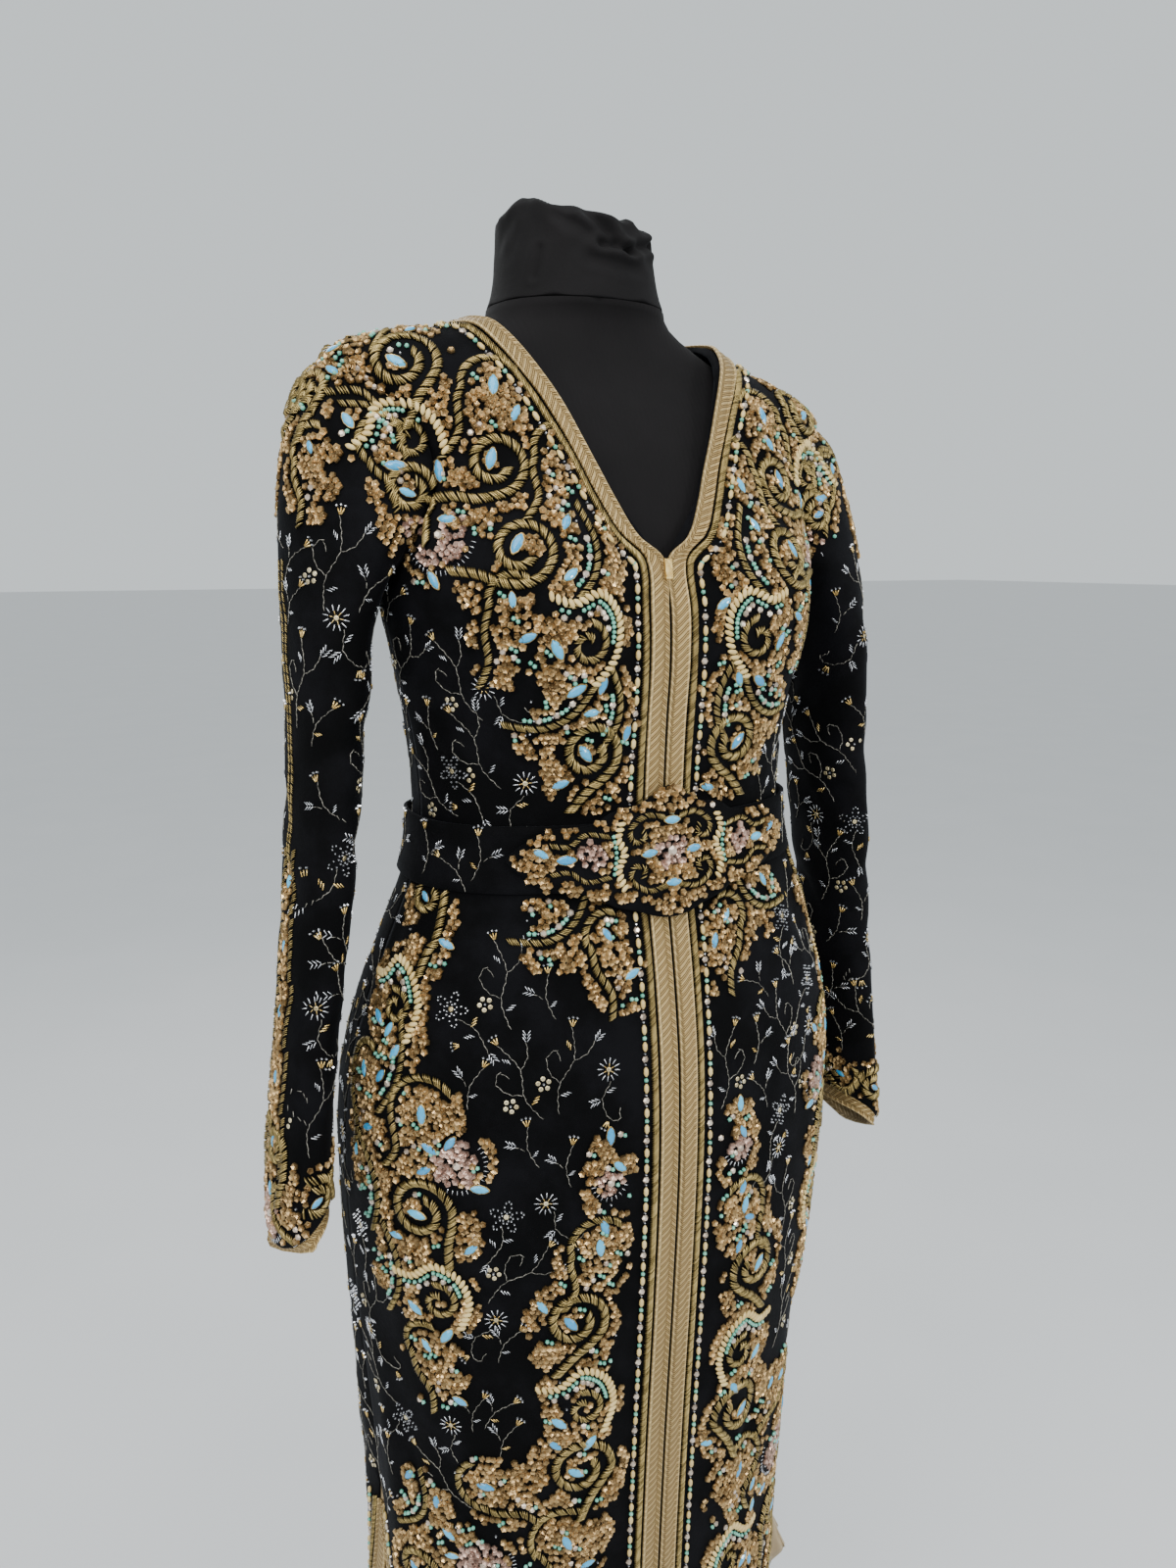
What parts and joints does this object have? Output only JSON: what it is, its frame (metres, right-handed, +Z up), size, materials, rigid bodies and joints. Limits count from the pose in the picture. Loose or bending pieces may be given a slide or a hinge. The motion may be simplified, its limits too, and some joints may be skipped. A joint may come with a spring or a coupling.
{
  "type": "midi dress on dress form",
  "caption": "Long-sleeved V-neck velvet midi dress with bead embroidery, gold braid edges, own belt and side godets, on a limbless dress form with a stand.",
  "frame": {"origin": "middle of the stand's base where it rests on the floor", "axes": "+Z up along the post, and the dress faces -Y, with the wearer's left at +X"},
  "size_m": [0.5295, 0.3614, 1.4963],
  "materials": {
    "velvet": "black pile velvet with a soft sheen",
    "braid": "woven metallic gold braid",
    "satin": "pleated antique gold satin",
    "form_cover": "plain black jersey",
    "hook": "polished gold-coloured metal",
    "stand_metal": "plain grey metal"
  },
  "bodies": {
    "root": {"front_panel_right": "velvet", "front_panel_left": "velvet", "back_panel": "velvet", "sleeve_right": "velvet", "sleeve_left": "velvet", "cuff_band_right": "braid", "cuff_band_left": "braid", "front_band_right": "braid", "front_band_left": "braid", "back_neck_band": "braid", "belt": "velvet", "belt_plate": "velvet", "godet_right": "satin", "godet_left": "satin", "slit_band_front_right": "braid", "slit_band_back_right": "braid", "slit_band_front_left": "braid", "slit_band_back_left": "braid", "neck_hook": "hook", "form_torso": "form_cover", "form_neck": "form_cover", "stand_post": "stand_metal", "stand_base": "stand_metal"}
  },
  "joints": []
}
